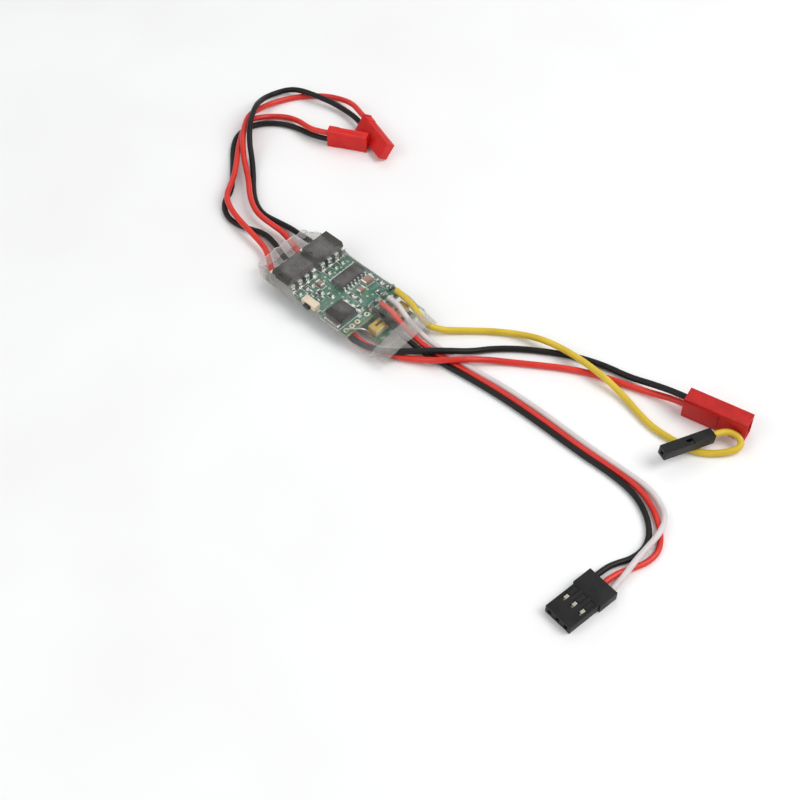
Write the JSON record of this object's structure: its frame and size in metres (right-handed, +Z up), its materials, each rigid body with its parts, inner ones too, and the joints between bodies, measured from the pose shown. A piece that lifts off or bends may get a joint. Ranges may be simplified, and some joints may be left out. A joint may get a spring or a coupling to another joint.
{
  "type": "electronic speed controller",
  "caption": "Clear-sleeved electronic speed controller board for small brushed motors, with its motor, battery and signal leads ending in red and black plugs.",
  "frame": {"origin": "under the middle of the clear sleeve, on the surface that it lies on", "axes": "+X along the board from the motor leads to the battery lead, +Y across the board away from the side with the set-up button, +Z up out of the chip side"},
  "size_m": [0.1818, 0.0936, 0.0086],
  "materials": {
    "clear_film": "clear shrink film",
    "board_green": "solder mask",
    "tinned_metal": "tinned",
    "chip_black": "moulded",
    "resistor_black": "glazed",
    "ceramic_brown": "fired ceramic",
    "capacitor_yellow": "moulded",
    "button_cream": "moulded",
    "button_black": "moulded",
    "wire_red": "wire insulation",
    "wire_black": "wire insulation",
    "wire_white": "wire insulation",
    "wire_yellow": "wire insulation",
    "connector_red": "moulded",
    "plug_black": "moulded",
    "contact_metal": "plated"
  },
  "bodies": {
    "controller": {"bare_link_wire": "tinned_metal", "battery_black_wire": "wire_black", "battery_connector": "connector_red", "battery_connector_contacts": "contact_metal", "battery_red_wire": "wire_red", "board_link_pins": "tinned_metal", "button_dome": "tinned_metal", "button_housing": "button_cream", "button_terminals": "tinned_metal", "capacitor_ends": "tinned_metal", "ceramic_capacitors": "ceramic_brown", "chip_resistors": "resistor_black", "clear_sleeve": "clear_film", "controller_chip_body": "chip_black", "controller_chip_legs": "tinned_metal", "driver_a_body": "chip_black", "driver_a_legs": "tinned_metal", "driver_b_body": "chip_black", "driver_b_legs": "tinned_metal", "lower_board": "board_green", "main_board": "board_green", "motor_a_black_wire": "wire_black", "motor_a_red_wire": "wire_red", "motor_b_black_wire": "wire_black", "motor_b_red_wire": "wire_red", "motor_connector_a": "connector_red", "motor_connector_a_contacts": "contact_metal", "motor_connector_b": "connector_red", "motor_connector_b_contacts": "contact_metal", "plated_rings": "tinned_metal", "regulator_body": "chip_black", "regulator_legs": "tinned_metal", "regulator_tab": "tinned_metal", "resistor_ends": "tinned_metal", "second_plug": "plug_black", "second_plug_contacts": "contact_metal", "second_signal_wire": "wire_yellow", "servo_plug": "plug_black", "servo_plug_contacts": "contact_metal", "signal_black_wire": "wire_black", "signal_red_wire": "wire_red", "signal_white_wire": "wire_white", "smoothing_capacitor_a": "capacitor_yellow", "smoothing_capacitor_b": "capacitor_yellow", "smoothing_capacitor_feet": "tinned_metal", "solder_beads": "tinned_metal"},
    "button": {"button_plunger": "button_black"}
  },
  "joints": [
    {"name": "button_press", "type": "slide", "parent": "controller", "child": "button", "axis": [0, 1, 0], "range_m": [0, 0.00025], "stiffness_N_per_m": 400, "springref_m": -0.0004}
  ]
}
